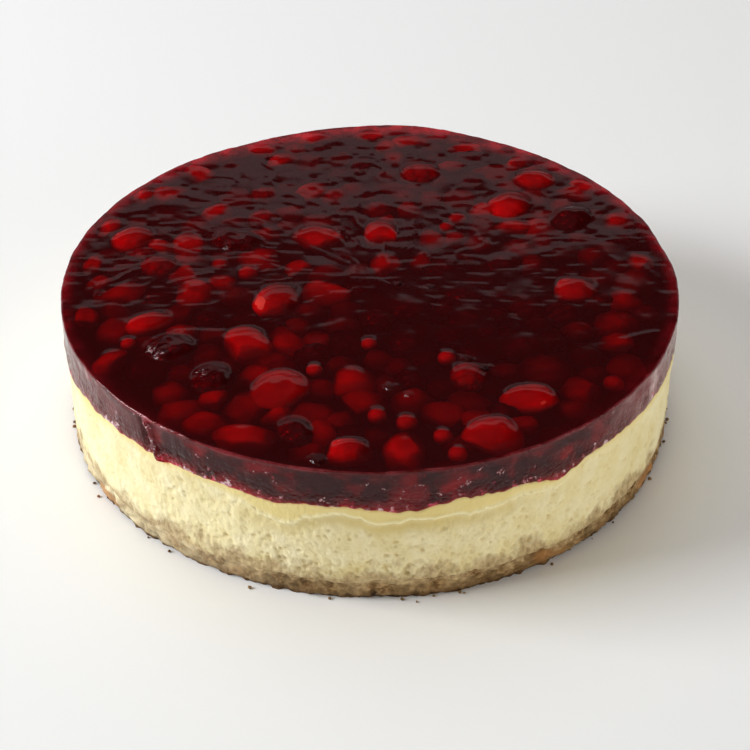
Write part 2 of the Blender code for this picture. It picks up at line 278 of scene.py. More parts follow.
def rows_joined(rows, spokes):
    """Faces of a closed round form whose rows of spokes run from the upper pole, point 0, down to the lower
    pole, the last point. Faces point outwards where angles grow anticlockwise from the front."""
    row, spoke = np.meshgrid(np.arange(rows - 1), np.arange(spokes), indexing="ij")
    onward = (spoke + 1) % spokes
    quads = np.stack([row * spokes + spoke, (row + 1) * spokes + spoke,
                      (row + 1) * spokes + onward, row * spokes + onward], axis=-1).reshape(-1, 4) + 1
    first = np.arange(spokes)
    following = (first + 1) % spokes
    last_row = 1 + (rows - 1) * spokes
    top = np.stack([np.zeros(spokes, int), first + 1, following + 1], axis=-1)
    bottom = np.stack([np.full(spokes, 1 + rows * spokes), last_row + following, last_row + first], axis=-1)
    return quads, np.concatenate([top, bottom])


def closed_surface(name, *grids):
    """One mesh of closed forms, each from a grid of rows and spokes, with a pole at the mean of its first
    row and another at the mean of its last."""
    points, faces = [], []
    start = 0
    for grid in grids:
        rows, spokes = grid.shape[:2]
        points += [grid[0].mean(axis=0)[None], grid.reshape(-1, 3), grid[-1].mean(axis=0)[None]]
        for corners in rows_joined(rows, spokes):
            faces += (corners + start).tolist()
        start += rows * spokes + 2
    return surface(name, np.concatenate(points), faces)


def give_value(mesh, name, values):
    """A number for each point, or one number for them all, which a material reads by its name."""
    numbers = np.full(len(mesh.vertices), values, np.float32)
    mesh.attributes.new(name, "FLOAT", "POINT").data.foreach_set("value", numbers)


def give_rows(mesh, name, rows, values, elsewhere=0.0):
    """A number for each point of some rows of a closed grid, and one number for every point elsewhere."""
    spokes = values.shape[-1]
    numbers = np.full(len(mesh.vertices), elsewhere)
    numbers[1:-1].reshape(-1, spokes)[rows] = values
    give_value(mesh, name, numbers)


def show(mesh, finish, slot, *nodes):
    """A finished piece of the cake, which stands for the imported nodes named."""
    piece = bpy.data.objects.new(mesh.name, mesh)
    bpy.context.scene.collection.objects.link(piece)
    mesh.materials.append(finish)
    if nodes:
        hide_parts(*nodes)
    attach(piece, "root")


# Where the biscuit meets the filling both sides lie this far inside the outline.
MEETING_INSET = 0.0004

SPOKES_OF_BASE = 960
ROWS_OF_BASE = 15

# The foot of the base draws in by this much, over this height.
FOOT_INSET = 0.0008
FOOT_HEIGHT = 0.0022

# Cream is smeared over the biscuit in this direction round from the front, and over this much to each side.
CREAMY_MIDDLE = math.radians(-56)
CREAMY_WIDTH = math.radians(24)

# Orange-brown patches of the biscuit: degrees from the front and half the width, height and half the height.
TOASTED = (
    (63, 5.0, 0.0045, 0.0035),
    (-57, 4.5, 0.0035, 0.0026),
)


def biscuit_base(finish):
    """The side is the outline with three sizes of lattice noise as crumbs, a little flat. It draws in at the
    foot, where crumbs have fallen, and is plain where it meets the filling. The faces are level. The side's
    points carry how far they stand out, how far they lie below the filling, how creamy they are and how
    toasted."""
    angle = all_round(SPOKES_OF_BASE)
    top = crumb_line(angle)
    height = np.linspace(1, 0, ROWS_OF_BASE)[:, None] * top
    flattened = on_side(angle, CAKE_RADIUS, 1.4 * height)
    crumbs = lumps(flattened, (0.0006, 0.0042, 21), (0.0005, 0.0019, 22), (0.0003, 0.0010, 23))
    foot = FOOT_INSET * smooth_step(1 - height / FOOT_HEIGHT) * (1 + ragged(angle, 0.003, 24))
    relief = crumbs - foot
    near_top = smooth_step((top - height) / 0.0015)
    side = on_side(angle, outline(angle) + relief * near_top - MEETING_INSET, height)
    lid = level_rows(angle, BASE_TOP - 0.001, 0.5, 0.95)
    sole = level_rows(angle, 0.0, 0.975, 0.5)
    mesh = closed_surface("biscuit_base_crumb", np.concatenate([lid, side, sole]))
    patchy = np.clip(0.85 + 0.6 * ragged(angle, 0.008, 25), 0, 1)
    smeared = patchy * bell(apart(angle, CREAMY_MIDDLE), CREAMY_WIDTH)
    toasted = np.zeros(height.shape)
    for middle, width, level, reach in TOASTED:
        across = apart(angle, math.radians(middle))
        toasted += bell(across, math.radians(width)) * bell(height - level, reach)
    looks = {
        "crumb": relief / 0.0010,
        "below_cream": top - height,
        "creamy": smeared * smooth_step((height - 0.0012) / 0.0015),
        "toasted": toasted,
    }
    for name, values in looks.items():
        give_rows(mesh, name, slice(len(lid), len(lid) + len(side)), values)
    show(mesh, finish, "biscuit", "biscuit_base")


def sphere_grid(rows, spokes):
    """Unit vectors from the +X pole round to the -X pole, in rows, without the two poles."""
    along = (np.arange(rows) + 1)[:, None] / (rows + 1) * math.pi
    turn = all_round(spokes)
    x = np.cos(along) * np.ones(spokes)
    ring = np.sin(along)
    return np.stack([x, ring * np.cos(turn), ring * np.sin(turn)], axis=-1)


LOOSE_CRUMBS = 42
ROWS_OF_CRUMB = 7
SPOKES_OF_CRUMB = 10
CRUMB_SEEDS = 300


def crumb_grid(size, seed):
    """A crumb of biscuit: a ball made uneven by lattice noise, and a little flat."""
    ball = sphere_grid(ROWS_OF_CRUMB, SPOKES_OF_CRUMB)
    uneven = 1 + 0.35 * lattice_noise(ball + 11, 0.8, seed)
    return ball * uneven[..., None] * (0.5 * size, 0.5 * size, 0.36 * size)


def loose_crumbs(finish):
    """Crumbs that have dropped from the base lie round it. Their distance from its foot is drawn at random
    with an exponential fall-off, so most of them are close to it."""
    rng = np.random.default_rng(83)
    grids = []
    for crumb in range(LOOSE_CRUMBS):
        size = rng.uniform(0.0005, 0.0017)
        spot = rng.uniform(0, ROUND)
        away = outline(spot) - 0.0004 + 0.5 * size + rng.exponential(0.0005)
        grid = crumb_grid(size, CRUMB_SEEDS + crumb)
        grids.append(grid + on_side(spot, away, -grid[..., 2].min()))
    mesh = closed_surface("loose_crumbs", *grids)
    give_value(mesh, "crumb", 0.0)
    give_value(mesh, "creamy", 0.0)
    give_value(mesh, "below_cream", 0.006)
    show(mesh, finish, "biscuit")


SPOKES_OF_FILLING = 1180
ROWS_OF_FILLING = 62

# How far the filling's hollows and its scoop go in, and its lip and its band stand out.
HOLLOW_DEPTH = 0.0010
SCOOP_DEPTH = 0.0009
LIP_HEIGHT = 0.0008
BAND_HEIGHT = 0.0004

# The cream's lip shows most in this direction round from the front and over this much to each side.
LIP_MIDDLE = math.radians(4)
LIP_WIDTH = math.radians(26)

# Degrees from the front, and how far under the jelly the lip's edge lies there.
LIP_EDGE = (
    (-46, 0.0058), (-33, 0.0050), (-23, 0.0066), (-18, 0.0084), (-13.5, 0.0104),
    (-11, 0.0070), (-6.5, 0.0044), (-2.5, 0.0052), (1, 0.0074), (4.5, 0.0052),
    (7, 0.0042), (11, 0.0068), (16, 0.0086), (27, 0.0060), (38, 0.0050),
)


def lip_depth(angle):
    """How far the lip's edge lies under the jelly: the depths of the table at the front, blended by smooth
    steps, and slow noise further round."""
    off = np.degrees(apart(angle, 0.0))
    places, depths = np.array(LIP_EDGE).T
    after = np.clip(np.searchsorted(places, off, side="right"), 1, len(places) - 1)
    part = smooth_step((off - places[after - 1]) / (places[after] - places[after - 1]))
    front = depths[after - 1] * (1 - part) + depths[after] * part
    inside = smooth_step((off - places[0]) / 8) * smooth_step((places[-1] - off) / 8)
    return front * inside + (0.0056 + 0.0026 * ragged(angle, 0.022, 31)) * (1 - inside)


def filling_looks(angle, low, high, height):
    """What the points of the filling's side are like. The smooth band lies above the lip's edge, which is
    sharp at the front. The lip is a bell along the edge, and the scoop a bell under it at the front. Hollows
    are two sizes of pits less three sizes of upright noise, fewer at the sides and the back, and rougher
    towards the foot. The last of the height under the jelly is soaked."""
    edge = high - lip_depth(angle) + 0.0004 * ragged(angle, 0.006, 32)
    over = height - edge
    facing = bell(apart(angle, LIP_MIDDLE), LIP_WIDTH)
    band = smooth_step(over / (0.0014 + 0.0050 * (1 - facing)))
    strength = np.clip(1.2 * facing - 0.1 + 0.4 * ragged(angle, 0.018, 33), 0, 1)
    scooped = bell(over + 0.0032, 0.0030) * facing * (over < 0)
    calmer = 0.60 + 0.40 * smooth_step((np.cos(angle) - 0.6) / 0.35)
    porous = (1 - 0.85 * band) * (1 - 0.8 * scooped) * calmer
    coarse = pits(angle, height, (0.0040, 0.0027), 34, 0.45)
    fine = pits(angle, height, (0.0017, 0.0014), 35, 0.6)
    upright = on_side(angle, CAKE_RADIUS, 0.8 * height)
    rough = lumps(upright, (0.45, 0.0034, 38), (0.55, 0.0017, 39), (0.40, 0.0009, 40))
    rougher = 0.45 + 0.55 * smooth_step((low + 0.017 - height) / 0.010)
    return {
        "band": band,
        # The lip, the scoop and the hollows also give the cream's colour its painted light: a highlight along
        # the lip, shade in the scoop and the hollows.
        "lip": bell(over - 0.0005, 0.0009) * strength,
        "scooped": scooped,
        "hollow": porous * np.clip(0.20 + 0.85 * coarse + 0.55 * fine - rougher * rough, 0, 1.8),
        "soaked": smooth_step(1 - (high - height) / 0.0007),
        "above_biscuit": height - low,
    }


def cream_filling():
    """The side is the outline with slow swells, a band and a lip that stand out, and a scoop and hollows
    that go in. It is plain where it meets the biscuit, and its last millimetre is tucked in under the
    jelly."""
    angle = all_round(SPOKES_OF_FILLING)
    low = crumb_line(angle) - 0.0006
    high = seam(angle)
    height = low + (high - low) * np.linspace(1, 0, ROWS_OF_FILLING)[:, None]
    looks = filling_looks(angle, low, high, height)
    swell = lumps(on_side(angle, CAKE_RADIUS, height), (0.0005, 0.016, 36), (0.0002, 0.005, 37))
    tucked = 0.0007 * smooth_step(1 - (high - height) / 0.0010)
    band = looks["band"]
    relief = (0.0003 + swell * (1 - 0.6 * band) + BAND_HEIGHT * band + LIP_HEIGHT * looks["lip"]
              - SCOOP_DEPTH * looks["scooped"] - HOLLOW_DEPTH * looks["hollow"] - tucked)
    near_foot = smooth_step((height - low) / 0.0020)
    side = on_side(angle, outline(angle) - MEETING_INSET + relief * near_foot, height)
    lid = np.concatenate([level_rows(angle, FILLING_TOP + 0.0001, 0.4, 0.8, 0.93),
                          level_rows(angle, (FILLING_TOP + high) / 2, 0.978)])
    sole = level_rows(angle, BASE_TOP - 0.0008, 0.97, 0.5)
    mesh = closed_surface("cream_cheese_crumb", np.concatenate([lid, side, sole]))
    elsewhere = {"above_biscuit": 0.02, "soaked": 1.0}
    for name, values in looks.items():
        give_rows(mesh, name, slice(len(lid), len(lid) + len(side)), values, elsewhere.get(name, 0.0))
    show(mesh, cream_finish(), "cream_cheese", "cream_cheese_filling")


# Ridges that the jelly has set in: x and y of one end, x and y of the other, and height, in millimetres.
RIDGES = (
    (-111.5, -7.3, -94.6, 6.6, 0.3), (-89.4, 39.8, -79.3, 41.4, 0.2),
    (-79.3, 41.4, -68, 34.3, 0.2), (-68, 34.3, -48.1, 34.3, 0.22),
    (-48.7, 14.1, -36.3, 4.4, 0.26), (-116.5, -22.3, -103.8, -20.9, 0.26),
    (-92.6, 24.1, -75.2, 18, 0.22), (-82.4, -5.1, -66.6, 2.9, 0.22),
    (-84.8, -43.4, -76.6, -38.7, 0.3), (-76.6, -38.7, -59, -38.1, 0.3),
    (-31.7, 28.8, -12.4, 10.4, 0.22), (33.9, -55.9, 39.6, -57.2, 0.24),
    (39.4, -63, 45.5, -61.7, 0.26), (4.1, -75.6, 9.4, -73.1, 0.24),
    (97.7, -43.4, 112, -38.7, 0.26), (3.9, 57.7, 18.5, 47.9, 0.22),
)
RIDGE_HALF_WIDTH = 0.0010

# How widely the soft maximum rounds the line where a fruit's dome meets the level.
SOFTNESS = 0.00034

# How deep the noise on the skin over a fruit is, and how deep where a bramble's drupelets stand out.
SKIN_LUMPS = 0.00022
BRAMBLE_LUMPS = 0.00045


def cos_and_sin(degrees):
    """The cosine and the sine of an angle in degrees."""
    return math.cos(math.radians(degrees)), math.sin(math.radians(degrees))


def berry_height(width, depth):
    """A fruit is lower than it is wide, and no higher than the jelly between its top and the filling."""
    return min(BERRY_TALLEST, 0.82 * width, JELLY_TOP - depth - FRUIT_LOWEST)


def set_ridges(flat):
    """The height of the ridges above the level: each is a bell across its line, which wavers, and falls off
    past its two ends."""
    x, y = flat[..., 0], flat[..., 1]
    waver = 0.0011 * lattice_noise(flat, 0.0055, 48)
    height = np.zeros_like(x)
    for row in RIDGES:
        xa, ya, xb, yb, tall = metres(*row)
        length = math.hypot(xb - xa, yb - ya)
        ux, uy = (xb - xa) / length, (yb - ya) / length
        along = (x - xa) * ux + (y - ya) * uy
        past = along - np.clip(along, 0, length)
        across = (y - ya) * ux - (x - xa) * uy + waver
        height = np.maximum(height, tall * bell(np.hypot(across, past), RIDGE_HALF_WIDTH))
    return height


def jelly_level(flat):
    """The level with lattice noise as swells, thin broken ridges where another noise is near zero, and small
    pits where a third is high, all calmer towards the front. Then come the ridges of the table, and a soft
    maximum with the dome of each fruit and the film over it. The soft maximum of a and b is the logarithm of
    the sum of their exponentials."""
    x, y = flat[..., 0], flat[..., 1]
    crossed = flat * (1.0, 1.6, 1.0)
    ridge = np.clip(1 - np.abs(lattice_noise(crossed, 0.0135, 45)) / 0.16, 0, 1) ** 1.5
    broken = smooth_step(0.5 + 1.4 * lattice_noise(flat, 0.016, 46))
    pit = np.clip(lattice_noise(crossed, 0.0052, 47) - 0.34, 0, 0.5)
    swells = lumps(flat, (0.00024, 0.019, 41), (0.00013, 0.008, 42), (0.00004, 0.0040, 43))
    calm = 0.35 + 0.65 * smooth_step((y + 0.045) / 0.075)
    uneven = swells + 0.00026 * ridge * broken - 0.00040 * pit
    height = JELLY_TOP - 0.0003 + calm * uneven + set_ridges(flat)
    skin = lattice_noise(flat, 0.0040, 44)
    for kind, middle_x, middle_y, length, width, turn, depth in TOP_FRUIT + SUNK_FRUIT:
        c, s = cos_and_sin(turn)
        u = ((x - middle_x) * c + (y - middle_y) * s) / (length / 2)
        v = ((y - middle_y) * c - (x - middle_x) * s) / (width / 2)
        away = np.abs(u) ** 2.4 + np.abs(v) ** 2.4
        fall = berry_height(width, depth) / 2 * (1 - np.clip(1 - away, 0.02, 1) ** 0.42)
        film = max(FILM, 0.8 * depth - 0.0002)
        lumpy = BRAMBLE_LUMPS if kind == "bramble" and depth < 0 else SKIN_LUMPS
        dome = JELLY_TOP - depth + film - fall - 0.002 * np.clip(away - 1, 0, 4) + lumpy * skin
        height = np.maximum(height, dome) + SOFTNESS * np.log1p(np.exp(-np.abs(height - dome) / SOFTNESS))
    return height


SPOKES_OF_JELLY = 760
ROWS_OF_TOP = 92
ROWS_OF_RIM = 4
ROWS_OF_WALL = 24
ROWS_OF_LAP = 3

# The direction of the fold round from the front, how far round from it its raised ridge lies, and how deep
# it is.
CREASE_ANGLE = math.radians(-40.5)
RIDGE_AWAY = 0.034
CREASE_DEPTH = 0.0014

# The lap at the foot of the wall is this high.
LAP_HEIGHT = 0.0005

# Small spots of the top where the skin is finely wrinkled and sparkles: x, y and radius in millimetres.
WRINKLES = (
    (-84.3, -48.7, 3.5), (-81, -54.6, 2.8), (-62.2, -66.8, 3), (-65.5, -65.6, 1.8),
    (-60.4, 21.8, 2), (-110.5, -11.6, 1.4), (23.6, -7.3, 1.3), (11, -5.1, 1.1),
    (-19.7, -117.4, 2.4), (36.6, -56.6, 1.6), (42.4, -63, 1.6), (6.4, -74.3, 1.6),
    (13.9, -79.3, 1.4), (-43.4, -19.4, 1.2), (33.2, 10.4, 1.6), (-12.8, 35.1, 1.2),
)


def quarter_turn(rows):
    """The angles of rows over a quarter circle, after its start."""
    return np.linspace(0, math.pi / 2, rows + 1)[1:, None]


def wrinkled(points):
    """One near the middle of each wrinkled spot, and zero from one and a half times its radius on."""
    most = np.zeros(points.shape[:2])
    for row in WRINKLES:
        x, y, radius = metres(*row)
        away = np.hypot(points[..., 0] - x, points[..., 1] - y) / radius
        most = np.maximum(most, smooth_step(1.5 - away))
    return most


def jelly():
    """The top follows the fruit, the rim is a quarter circle with nicks, and the side is a cut wall with
    noise, coarser near its foot, where it laps over the filling. A fold runs down the wall at the left: a
    groove beside a raised ridge, as one bell less another across a slanting line. The points carry how much
    they belong to the cut rim and its painted highlight, to the jelly just inside it, where a red glow is
    painted, to the foot or the fold, to the painted sheen of the sides and to wrinkled spots."""
    angle = all_round(SPOKES_OF_JELLY)
    back = np.clip(-np.cos(angle), 0, 1)
    sideways = np.sin(angle)
    edge = outline(angle) + 0.0001 + 0.00020 * ragged(angle, 0.009, 51) + 0.00012 * ragged(angle, 0.0022, 52)
    rounding = 0.0008 + 0.0003 * ragged(angle, 0.006, 53)
    radius = (edge - rounding) * (np.arange(1, ROWS_OF_TOP + 1)[:, None] / ROWS_OF_TOP)
    flat = on_side(angle, radius, 0.0)
    top = np.dstack([flat[..., :2], jelly_level(flat)])
    nicks = 0.00045 * np.clip(ragged(angle, 0.0035, 57) - 0.25, 0, 1)
    rim_height = top[-1, :, 2] - nicks
    turn = quarter_turn(ROWS_OF_RIM)
    rim_radius = edge - rounding * (1 - np.sin(turn))
    rim = on_side(angle, rim_radius, rim_height - rounding * (1 - np.cos(turn)))

    foot = seam(angle) - 0.0004 - 0.0005 * np.clip(ragged(angle, 0.004, 54), 0, 1)
    start = rim_height - rounding
    share = np.linspace(0, 1, ROWS_OF_WALL + 1)[1:, None] ** 0.85
    height = start + (foot + LAP_HEIGHT - start) * share
    plain = on_side(angle, CAKE_RADIUS, height)
    low = smooth_step((foot + 0.0075 - height) / 0.007)
    grainy = low * np.clip(0.5 + 1.4 * ragged(angle, 0.014, 58), 0.1, 1)
    relief = lumps(plain, (0.00022, 0.007, 55), (0.00012, 0.0030, 59))
    relief += grainy * lumps(plain, (0.00042, 0.0021, 56))
    off = apart(angle, CREASE_ANGLE)
    slant = off + 0.045 * (height - FILLING_TOP) / 0.012 + 0.012 * ragged(angle, 0.003, 61)
    crease = bell(slant, 0.014) - 1.1 * bell(slant - RIDGE_AWAY, 0.016)
    wall = on_side(angle, edge + relief + 0.0003 * low - CREASE_DEPTH * crease, height)
    curl = quarter_turn(ROWS_OF_LAP)
    wall_foot = edge + relief[-1] + 0.0003 - CREASE_DEPTH * crease[-1]
    lap = on_side(angle, wall_foot - 0.0009 * (1 - np.cos(curl)), foot + LAP_HEIGHT * (1 - np.sin(curl)))
    under = np.concatenate([level_rows(angle, np.minimum(foot, FILLING_TOP) - 0.0010, 0.955),
                            level_rows(angle, FILLING_TOP - 0.0006, 0.8, 0.4)])
    mesh = closed_surface("berry_jelly_clear", np.concatenate([top, rim, wall, lap, under]))

    wall_start = len(top) + len(rim)
    # Painted highlight: a pale line along the cut rim, strongest at the back and by the fold.
    give_rows(mesh, "cut_rim_highlight", slice(len(top), wall_start), 0.7 + 1.1 * back + 1.5 * bell(off + 0.015, 0.035))
    # Painted glow: a red glow just inside the rim, at the back only.
    reach = 0.0065 + 0.0080 * back ** 2
    near_rim = smooth_step((radius - edge + reach) / reach) * (0.5 - 0.55 * np.cos(angle))
    give_rows(mesh, "near_rim", slice(0, wall_start), np.pad(near_rim, ((0, len(rim)), (0, 0)), mode="edge"))
    at_foot = np.maximum(np.clip(1 - (height - foot) / 0.0055, 0, 1), 0.9 * bell(slant - RIDGE_AWAY, 0.022))
    at_foot = np.concatenate([at_foot, np.ones(lap.shape[:2])])
    give_rows(mesh, "at_foot", slice(wall_start, wall_start + len(at_foot)), at_foot)
    # Painted sheen: a pale cover on the left and right walls, stronger on the right, standing in for how they
    # mirror the light at a grazing angle.
    side_sheen = (smooth_step((np.abs(sideways) - 0.58) / 0.34) * (0.85 + 0.40 * sideways)
               * (0.75 + 0.25 * ragged(angle, 0.012, 60)))
    give_rows(mesh, "side_sheen", slice(wall_start, None), side_sheen)
    give_rows(mesh, "wrinkled", slice(0, len(top)), wrinkled(top))
    show(mesh, jelly_finish(), "jelly", "berry_jelly")


# Sunk fruit draws its noise with seeds from this one on, and is more uneven than the fruit that has a solid.
SUNK_SEEDS = 30
SUNK_FINENESS = 0.62

# Rows of dimples and of drupelets from pole to pole, and how many each row has.
ROWS_OF_DIMPLES = 7
DIMPLES_IN_ROW = 11
ROWS_OF_DRUPELETS = 5
DRUPELETS_IN_ROW = 8


def pared(form, seed, reach):
    """Three flat faces where a knife or a neighbour has pressed: beyond a plane that is at least the reach
    away from the middle, a point moves back to it but for a tenth of the way, so that edges stay a little
    soft."""
    rng = np.random.default_rng(seed)
    for face in range(3):
        turn = rng.uniform(0, ROUND)
        rise = rng.uniform(-0.3, 0.7)
        normal = np.array([math.cos(turn), math.sin(turn), rise]) / math.hypot(1, rise)
        beyond = np.clip(form @ normal - reach - rng.uniform(0, 0.25), 0, None)
        form = form - 0.9 * beyond[..., None] * normal
    return form


def staggered(unit, rows, in_row):
    """How far along and across a point lies from the middle of its cell, on a lattice of rows round the X
    axis, each row half a cell on."""
    along = np.arccos(np.clip(unit[..., 0], -1, 1)) / math.pi * rows
    row = np.minimum(np.floor(along), rows - 1)
    across = np.arctan2(unit[..., 2], unit[..., 1]) / ROUND * in_row + 0.5 * (row % 2)
    return along - row - 0.5, across - np.floor(across) - 0.5


def strawberry_form(unit, seed):
    """Broad shoulders and a blunt tip: the ring narrows towards +X by a smooth step, and powers of 0.84 of
    the coordinates make it blunt. A few faces are pared flat, lattice noise makes it uneven, more so where
    it is sunk, and shallow dimples are bells on a staggered lattice."""
    taper = 1.0 - 0.24 * smooth_step((unit[..., 0] + 0.35) / 1.35)
    blunt = np.sign(unit) * np.abs(unit) ** 0.84
    form = pared(blunt * np.stack([np.ones_like(taper), taper, taper], axis=-1), 160 + seed, 0.70)
    uneven = 1 + 0.11 * lattice_noise(unit + 3, 0.9, 60 + seed)
    if seed >= SUNK_SEEDS:
        uneven += 0.12 * lattice_noise(unit + 9, 0.5, 60 + seed)
    along, across = staggered(unit, ROWS_OF_DIMPLES, DIMPLES_IN_ROW)
    dimple = 0.035 * bell(np.hypot(along, across), 0.2)
    return form * (uneven - dimple)[..., None]


def drupelet_form(unit, seed, depth):
    """Domes on a staggered lattice: each dome's height is the root of one minus twice the squared distance
    from the middle of its cell. Lattice noise makes the whole a little uneven."""
    along, across = staggered(unit, ROWS_OF_DRUPELETS, DRUPELETS_IN_ROW)
    dome = np.sqrt(np.clip(1 - 2 * (along ** 2 + across ** 2), 0, 1))
    uneven = 1 + 0.05 * lattice_noise(unit + 5, 0.9, 90 + seed)
    return unit * ((1 - depth + depth * dome) * uneven)[..., None]


def currant_form(unit, seed):
    """A nearly round bead, a little flat at its two ends."""
    return unit * (1 - 0.08 * unit[..., :1] ** 4) * (1 + 0.02 * lattice_noise(unit + 7, 0.9, seed)[..., None])


# Each kind's form, and the rows and spokes of its grid.
FORMS = {
    "strawberry": (strawberry_form, 46, 44),
    "bramble": (partial(drupelet_form, depth=0.30), 50, 64),
    "raspberry": (partial(drupelet_form, depth=0.22), 50, 64),
    "currant": (currant_form, 14, 20),
}


def fruit_grid(kind, x, y, length, width, turn, depth, seed, fineness=1.0):
    """One fruit's grid, turned about Z and set with its highest point at its depth."""
    form, rows, spokes = FORMS[kind]
    rows = max(8, round(rows * fineness))
    spokes = max(12, round(spokes * fineness / 4) * 4)
    grid = form(sphere_grid(rows, spokes), seed)
    c, s = cos_and_sin(turn)
    grid = grid * (length / 2, width / 2, berry_height(width, depth) / 2)
    grid = grid @ np.array([[c, s, 0], [-s, c, 0], [0, 0, 1]])
    return grid + (x, y, JELLY_TOP - depth - grid[..., 2].max())


# The fruit with the palest, most orange flesh, and its tone. The other tones are drawn with seeds from this
# one on.
PALEST_FRUIT = "strawberry_12"
PALEST_TONE = 1.6
TONE_SEEDS = 700


def surface_fruit():
    """Each fruit that has a solid gets a fine form in its place, and a tone from 0 to 1."""
    counts = {}
    for seed, row in enumerate(TOP_FRUIT):
        kind = row[0]
        counts[kind] = counts.get(kind, 0) + 1
        node = f"{kind}_{counts[kind]}"
        mesh = closed_surface(node + "_skin", fruit_grid(*row, seed))
        tone = np.random.default_rng(TONE_SEEDS + seed).uniform(0, 1)
        give_value(mesh, "tone", PALEST_TONE if node == PALEST_FRUIT else tone)
        show(mesh, FRUIT_FINISH[kind], kind, node)


# How often a place for deeper fruit is tried, the kinds that it may be, and the share of each.
TRIES = 4000
DEEPER_KINDS = ["strawberry", "bramble", "raspberry"]
DEEPER_SHARES = [0.52, 0.30, 0.18]

# Nearly all fruit is dark within this oval.
DARK_MIDDLE = (0.042, -0.022)
DARK_REACH = (0.044, 0.036)


def deeper_fruit(rng):
    """Deeper fruit at places drawn at random and kept where they clear the fruit already placed."""
    taken = [(row[1], row[2], (row[3] + row[4]) / 2) for row in TOP_FRUIT + SUNK_FRUIT]
    placed = []
    for attempt in range(TRIES):
        kind = str(rng.choice(DEEPER_KINDS, p=DEEPER_SHARES))
        length = rng.uniform(0.013, 0.024)
        width = length * rng.uniform(0.8, 0.95)
        reach = (CAKE_RADIUS - 0.004 - length / 2) * math.sqrt(rng.uniform(0, 1))
        spot = rng.uniform(0, ROUND)
        x, y = reach * math.cos(spot), reach * math.sin(spot)
        clear = [math.hypot(x - row[0], y - row[1]) > 0.29 * (length + row[2]) for row in taken]
        if all(clear):
            taken.append((x, y, length))
            if math.hypot((x - DARK_MIDDLE[0]) / DARK_REACH[0], (y - DARK_MIDDLE[1]) / DARK_REACH[1]) < 1:
                kind = "bramble"
            turn = rng.uniform(0, 360)
            depth = rng.uniform(0.0010, 0.0042)
            placed.append((kind, x, y, length, width, turn, depth))
    return placed


def sunk_fruit():
    """All sunk fruit of a kind is one piece, joined from each fruit's own closed grid. Each fruit has a
    tone."""
    rng = np.random.default_rng(17)
    everything = SUNK_FRUIT + deeper_fruit(rng)
    for kind in FORMS:
        grids, tones = [], []
        for seed, row in enumerate(everything):
            if row[0] == kind:
                grid = fruit_grid(*row, seed + SUNK_SEEDS, SUNK_FINENESS)
                grids.append(grid)
                tones.append(np.full(grid[..., 0].size + 2, rng.uniform(0, 1)))
        mesh = closed_surface("sunk_" + kind, *grids)
        give_value(mesh, "tone", np.concatenate(tones))
        show(mesh, FRUIT_FINISH[kind], "strawberry" if kind == "currant" else kind)


# The sockets of a mix node that hold colours are found by their numbers.
MIX_SHARE = 0
MIX_FIRST = 6
MIX_SECOND = 7
MIX_RESULT = 2


class Nodes:
    """The nodes of a material or of the world, with short ways to add more."""

    def __init__(self, owner):
        owner.use_nodes = True
        self.owner = owner
        self.tree = owner.node_tree

    def feed(self, node, inputs):
        """Links each input named to a socket, or sets it to a number, to three of them or to a colour."""
        for key, value in inputs.items():
            socket = node.inputs[key]
            if isinstance(value, bpy.types.NodeSocket):
                self.tree.links.new(value, socket)
            elif socket.type == "RGBA":
                socket.default_value = (*value, 1)
            else:
                socket.default_value = value

    def add(self, kind, inputs, result=0):
        """One result of a new node."""
        node = self.tree.nodes.new("ShaderNode" + kind)
        self.feed(node, inputs)
        return node.outputs[result]

    def shade(self, inputs):
        """Feeds the material's shader."""
        self.feed(self.tree.nodes["Principled BSDF"], inputs)

    def place(self):
        """Object coordinates."""
        return self.add("TexCoord", {}, "Object")

    def height(self):
        """Metres above the underside."""
        return self.add("SeparateXYZ", {"Vector": self.place()}, "Z")

    def noise(self, scale, detail=4.0, roughness=0.55, stretch=(1, 1, 1)):
        """Noise over Object coordinates, with its scale in lumps for each metre."""
        vector = self.add("Mapping", {"Vector": self.place(), "Scale": stretch})
        inputs = {"Vector": vector, "Scale": scale, "Detail": detail, "Roughness": roughness}
        return self.add("TexNoise", inputs, "Fac")

    def value(self, name):
        """The numbers that the mesh's points carry under a name."""
        reader = self.tree.nodes.new("ShaderNodeAttribute")
        reader.attribute_name = name
        return reader.outputs["Fac"]

    def ramp(self, source, *stops):
        """Colours along a number: each stop is a place and a colour."""
        made = self.tree.nodes.new("ShaderNodeValToRGB")
        elements = made.color_ramp.elements
        while len(elements) < len(stops):
            elements.new(0.5)
        for element, (place, colour) in zip(elements, stops):
            element.position = place
            element.color = (*colour, 1)
        self.feed(made, {"Fac": source})
        return made.outputs["Color"]

    def fit(self, source, low, high, to_low=0.0, to_high=1.0):
        """A number moved from one range to another in a straight line, and kept within it."""
        inputs = {"Value": source, "From Min": low, "From Max": high, "To Min": to_low, "To Max": to_high}
        return self.add("MapRange", inputs, "Result")

    def maths(self, operation, first, *others):
        """A sum, product, difference or maximum of numbers, taken one after the other."""
        for other in others:
            node = self.tree.nodes.new("ShaderNodeMath")
            node.operation = operation
            self.feed(node, {0: first, 1: other})
            first = node.outputs["Value"]
        return first

    def blend(self, share, first, second, how="MIX"):
        """A share of the way from one colour to a second, or to their product where that is asked for."""
        node = self.tree.nodes.new("ShaderNodeMix")
        node.data_type = "RGBA"
        node.blend_type = how
        self.feed(node, {MIX_SHARE: share, MIX_FIRST: first, MIX_SECOND: second})
        return node.outputs[MIX_RESULT]

    def layered(self, tone, *layers):
        """A tone with layers over it, each a share and a colour."""
        for share, colour in layers:
            tone = self.blend(share, tone, colour)
        return tone

    def bump(self, source, distance):
        """The normal of relief whose height is a number times a distance."""
        return self.add("Bump", {"Height": source, "Strength": 1.0, "Distance": distance})

    def by_ray(self, question, otherwise, where_so):
        """One shader for the rays of which the answer is yes, and another for all others."""
        return self.add("MixShader", {0: self.add("LightPath", {}, question), 1: otherwise, 2: where_so})


